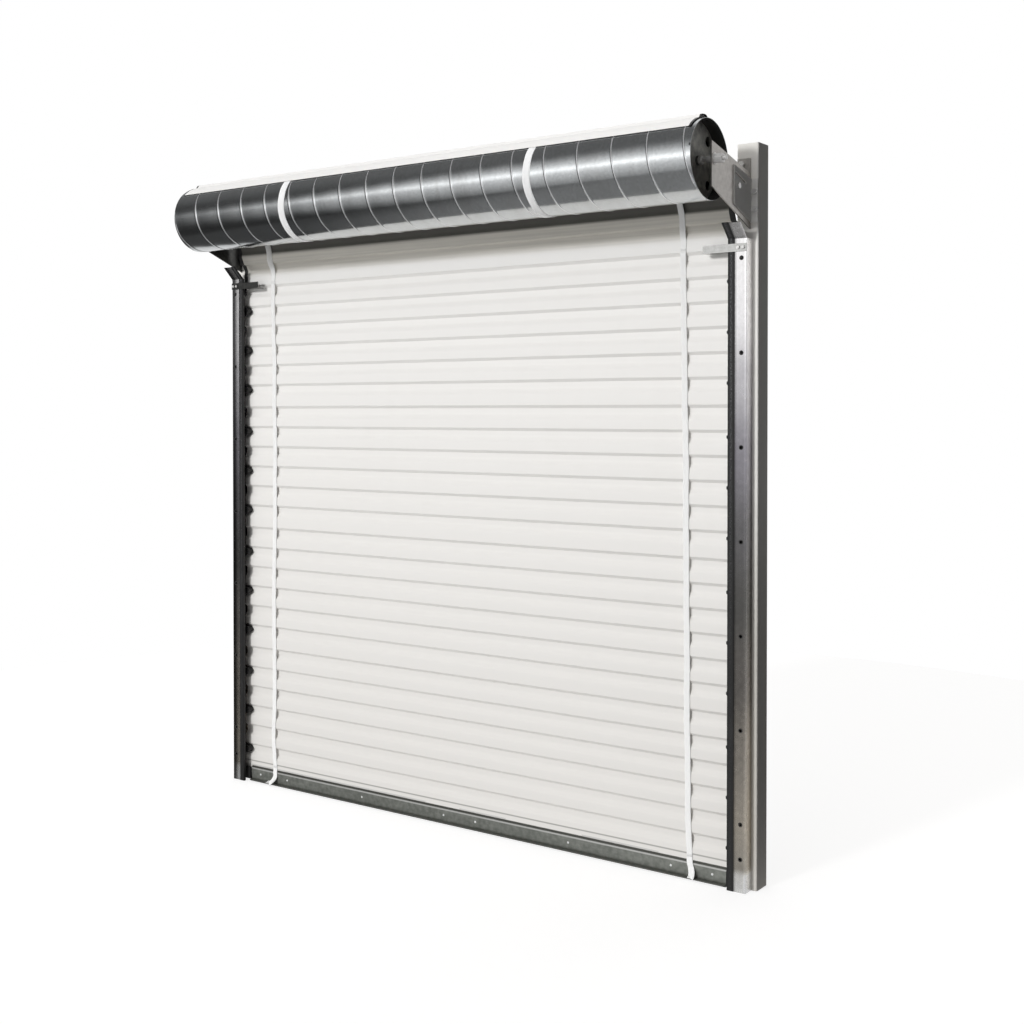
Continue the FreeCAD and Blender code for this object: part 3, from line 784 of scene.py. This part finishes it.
strap_half = 0.011
strap_wall = 0.0012
strap_depth = -0.0012
strap_lowest = 0.0006
strap_low = 0.0727
lead_end = wrap_start - 0.060

# Turn of the left strap onto its edge behind the drum: its start, length, degrees and shift forwards.
twist_start = 2.12
twist_length = 0.09
twist_degrees = 62
twist_forward = 0.010


def eased(table, value):
    """Smooth result between pairs of value and result."""
    for (a, first), (b, second) in zip(table, table[1:]):
        if value <= b:
            return first + (second - first) * soft_step((value - a) / (b - a))
    return table[-1][1]


def ribbon(name, centres, body, turns=None):
    """Flat woven strap through centre points; turns gives its twist about its own length, in degrees."""
    columns = 9
    front = []
    back = []
    for number, centre in enumerate(centres):
        before = Vector(centres[max(number - 1, 0)])
        after = Vector(centres[min(number + 1, len(centres) - 1)])
        along = (after - before).normalized()
        side = Vector((1, 0, 0)) - along * along.x
        side.normalize()
        out = side.cross(along)
        if turns:
            angle = math.radians(turns[number])
            turned = side * math.cos(angle) + out * math.sin(angle)
            side, out = turned, out * math.cos(angle) - side * math.sin(angle)
        front_row = []
        back_row = []
        for column in range(columns):
            share = 2 * column / (columns - 1) - 1
            edge = 1 - abs(share) ** 6 * 0.55
            middle = Vector(centre) + side * (share * strap_half)
            above = middle + out * (strap_wall / 2 * edge)
            below = middle - out * (strap_wall / 2 * edge)
            for point in (above, below):
                point.z = max(point.z, strap_lowest)
            front_row.append(above)
            back_row.append(below)
        front.append(front_row)
        back.append(back_row)
    return new_mesh(name, *slab(front, back), strap_white, body, "webbing")


# Pairs of height along the sheet and distance from the middle.
strap_line = {
    "left": ((0.062, -0.972), (0.112, -0.9766), (0.186, -0.982), (0.355, -0.976), (0.522, -0.975),
             (0.73, -0.978), (1.189, -0.9705), (1.455, -0.9696), (1.605, -0.9726), (1.754, -0.972),
             (1.937, -0.9773), (2.02, -0.9805), (2.10, -0.979), (2.16, -0.968), (2.24, -0.948),
             (2.42, -0.944)),
    "right": ((0.061, 0.972), (0.194, 0.966), (0.595, 0.961), (1.262, 0.956), (1.928, 0.947),
              (2.061, 0.943), (2.13, 0.946), (2.22, 0.958), (2.42, 0.962)),
}
for side, line in strap_line.items():
    heights = [strap_low + (sheet_fixed - strap_low) * k / 160 for k in range(161)]
    centres = []
    for z in heights:
        sway = 0.0006 * math.sin(z * 19) + 0.0004 * math.sin(z * 47)
        centres.append((eased(line, z) + sway, strap_depth - 0.0004 * math.sin(z * 31) ** 2, z))
    hanging = ribbon("strap_%s" % side, centres, "frame")
    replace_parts(hanging, side + "_strap")
    follows_lift(hanging)

leads = []
for side, line in strap_line.items():
    marks = [sheet_fixed + (lead_end - sheet_fixed) * k / 40 for k in range(41)]
    centres = []
    for mark in marks:
        y, z = sheet_point(mark, strap_depth)
        centres.append((eased(line, mark), y, z))
    turns = None
    if side == "left":
        twists = [soft_step((mark - twist_start) / twist_length) for mark in marks]
        turns = [-twist_degrees * twist for twist in twists]
        centres = [(x, y - twist_forward * twist, z) for (x, y, z), twist in zip(centres, twists)]
    leads.append(ribbon("strap_lead_%s" % side, centres, "frame", turns))
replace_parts(leads[0], "strap_leads")


def curve_through(points, steps):
    """Points of a smooth curve through the given ones."""
    found = []
    for number in range(len(points) - 1):
        a = Vector(points[max(number - 1, 0)])
        b = Vector(points[number])
        c = Vector(points[number + 1])
        d = Vector(points[min(number + 2, len(points) - 1)])
        for step in range(steps):
            t = step / steps
            bend = (2 * a - 5 * b + 4 * c - d) * t ** 2 + (3 * b - a - 3 * c + d) * t ** 3
            found.append(0.5 * (2 * b + (c - a) * t + bend))
    found.append(Vector(points[-1]))
    return found


loop_routes = {
    "left": ((-0.9735, strap_depth, strap_low), (-0.9715, -0.0028, 0.062), (-0.9690, -0.0062, 0.050),
             (-0.9670, -0.0080, 0.038), (-0.9700, -0.0140, 0.026), (-0.9770, -0.0230, 0.0155),
             (-0.9850, -0.0262, 0.0105), (-0.9960, -0.0220, 0.0090)),
    "right": ((0.9715, strap_depth, strap_low), (0.9728, -0.0028, 0.062), (0.9760, -0.0062, 0.050),
              (0.9805, -0.0080, 0.038), (0.9860, -0.0140, 0.026), (0.9895, -0.0230, 0.0155),
              (0.9880, -0.0262, 0.0095), (0.9840, -0.0200, 0.0070)),
}
for side, route in loop_routes.items():
    centres = curve_through(route, 8)
    loop = ribbon("strap_end_%s" % side, centres, "curtain_foot")
    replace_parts(loop, side + "_strap_loop")


# Painted shade round the access holes

hole_reach = 1.172
hole_lowest = 0.1082
hole_second = 0.2216
hole_pitch = 0.3048
hole_heights = [hole_lowest] + [hole_second + hole_pitch * number for number in range(7)]
rim_inner = 0.0050
rim_outer = 0.0076
rim_front = -0.0325
rim_back = -0.0321


def hole_shade_rings(name, x):
    """Thin dark rings round one guide's holes, facing forwards: painted shade round the holes."""
    around = 32
    points = []
    faces = []
    for z in hole_heights:
        first = len(points)
        inner = ((rim_inner, rim_back), (rim_inner, rim_front))
        outer = ((rim_outer, rim_front), (rim_outer, rim_back))
        for reach, y in inner + outer:
            for j in range(around):
                angle = 2 * math.pi * j / around
                points.append((x + reach * math.cos(angle), y, z + reach * math.sin(angle)))
        for i in range(4):
            for j in range(around):
                k = (j + 1) % around
                a = first + i * around
                b = first + (i + 1) % 4 * around
                faces.append((a + j, b + j, b + k, a + k))
    return new_mesh(name, points, faces, hole_painted_shade, "frame", "galvanised", smooth=False)


hole_shade_rings("left_hole_rims", -hole_reach)
hole_shade_rings("right_hole_rims", hole_reach)


# Camera, light and floor

image_side = 1024
focal_length = 1358.98
horizon_row = 431.25
camera_pitch = 0.8085
camera_turn = 35.684
camera_data = bpy.data.cameras.new("camera")
camera_data.sensor_width = 36
camera_data.lens = focal_length / image_side * camera_data.sensor_width
camera_data.shift_y = (horizon_row - image_side / 2) / image_side
camera_data.clip_end = 200
camera = bpy.data.objects.new("camera", camera_data)
camera.location = (3.1232, -4.0125, 1.5548)
camera.rotation_euler = (math.radians(90 - camera_pitch), 0, math.radians(camera_turn))
bpy.context.scene.collection.objects.link(camera)
bpy.context.scene.camera = camera


def distant_lamp(name, shines, strength, spread):
    """Large lamp far off, so that its light falls evenly; spread in degrees softens its shadows."""
    data = bpy.data.lights.new(name, "SUN")
    data.energy = strength
    data.angle = math.radians(spread)
    lamp = bpy.data.objects.new(name, data)
    lamp.location = Vector(shines) * -8
    lamp.rotation_euler = Vector(shines).to_track_quat("-Z", "Y").to_euler()
    bpy.context.scene.collection.objects.link(lamp)
    return lamp


key = distant_lamp("key", (0.20, 1.0, -0.277), 1.62, 8)
key.visible_glossy = False

world = bpy.data.worlds.new("studio")
world.use_nodes = True
bpy.context.scene.world = world
world.node_tree.nodes.clear()
sky = Nodes(world.node_tree)
x, y, z = sky.node("SeparateXYZ", i0=sky.node("TexCoord").outputs["Generated"]).outputs
degrees = 180 / math.pi
elevation = sky.maths("MULTIPLY", sky.maths("ARCSINE", z), degrees)
turn = sky.maths("ARCTAN2", sky.maths("MULTIPLY", x, -1.0), sky.maths("MULTIPLY", y, -1.0))
turn = sky.maths("MULTIPLY", turn, degrees)
# What shiny pieces mirror: pairs of degrees above the horizon, or round from the front, and brightness.
glow_by_height = [(-90, 0.20), (-50, 0.22), (-30, 0.29), (-21, 0.42), (-13, 0.58), (-4, 0.74),
                  (1, 0.92), (5, 1.34), (9, 1.84), (13, 1.42), (17, 1.05), (22, 0.80),
                  (30, 0.62), (40, 0.52), (55, 0.44), (90, 0.44)]
glow_by_turn = [(-180, 0.7), (-90, 0.45), (-40, 0.75), (0, 1.0), (20, 1.12), (27, 1.10),
                (33, 1.08), (36, 1.0), (39, 0.86), (42, 0.68), (44, 0.50), (46, 0.29),
                (47.5, 0.17), (49.5, 0.07), (55, 0.06), (100, 0.3), (180, 0.7)]
sideways = sky.table(turn, -180, 180, glow_by_turn, 1.2)
sideways = sky.mix_values(sky.soft_span(z, 0.0, 1.0, 0.35, 0.85), sideways, 0.32)
front = sky.maths("MULTIPLY", sky.table(elevation, -90, 90, glow_by_height, 2.0), sideways)
gloss = sky.mix_values(sky.soft_span(y, 0.0, 1.0, 0.05, 0.5), front, 0.85)
# What lights the object from all round, weaker from the right so that the right-hand sides stay dark.
fill = sky.maths("MULTIPLY", sky.soft_span(x, 1.0, 0.02, 0.0, 0.42), sky.soft_span(z, 1.0, 1.5, 0.6, 0.95))
fill = sky.maths("MULTIPLY", fill, sky.soft_span(x, 0.3, 1.0, -0.9, -0.25))
rays = sky.node("LightPath").outputs
plain = sky.choose(rays["Is Glossy Ray"], sky.glow("Background", fill), sky.glow("Background", gloss))
seen = sky.choose(rays["Is Camera Ray"], plain, sky.glow("Background", 1.0))
sky.put(sky.node("OutputWorld").inputs["Surface"], seen)

floor_sides = 96
floor_radius = 4.2
floor_height = -0.0005
floor_mesh = bpy.data.meshes.new("floor")
ring = []
for k in range(floor_sides):
    angle = 2 * math.pi * k / floor_sides
    ring.append((floor_radius * math.cos(angle), floor_radius * math.sin(angle), floor_height))
floor_mesh.from_pydata(ring, [], [tuple(range(floor_sides))])
floor = bpy.data.objects.new("floor", floor_mesh)
bpy.context.scene.collection.objects.link(floor)
pale = bpy.data.materials.new("pale_floor")
pale.use_nodes = True
pale.node_tree.nodes.clear()
ground = Nodes(pale.node_tree)
across = ground.node("SeparateXYZ", i0=ground.node("NewGeometry").outputs["Position"]).outputs[0]
# For rays other than the camera's the floor glows: painted bounce light that fades towards the right, and
# a dim glow for what shiny pieces mirror.
bounce = ground.soft_span(across, 0.50, 0.03, 0.8, 1.7)
mirrored = ground.soft_span(across, 0.05, 0.22, -3.0, -0.9)
mirrored = ground.maths("ADD", mirrored, ground.soft_span(across, 0.0, 0.35, -0.3, 1.1))
lit = ground.node("BsdfDiffuse", Color=(0.34, 0.335, 0.33))
shown = ground.node("AddShader")
ground.put(shown.inputs[0], lit.outputs[0])
ground.put(shown.inputs[1], ground.glow("Emission", 0.76))
rays = ground.node("LightPath").outputs
plain = ground.glow("Emission", bounce)
plain = ground.choose(rays["Is Glossy Ray"], plain, ground.glow("Emission", mirrored))
seen = ground.choose(rays["Is Camera Ray"], plain, shown.outputs[0])
ground.put(ground.node("OutputMaterial").inputs["Surface"], seen)
floor_mesh.materials.append(pale)

bpy.context.scene.view_settings.view_transform = "Standard"
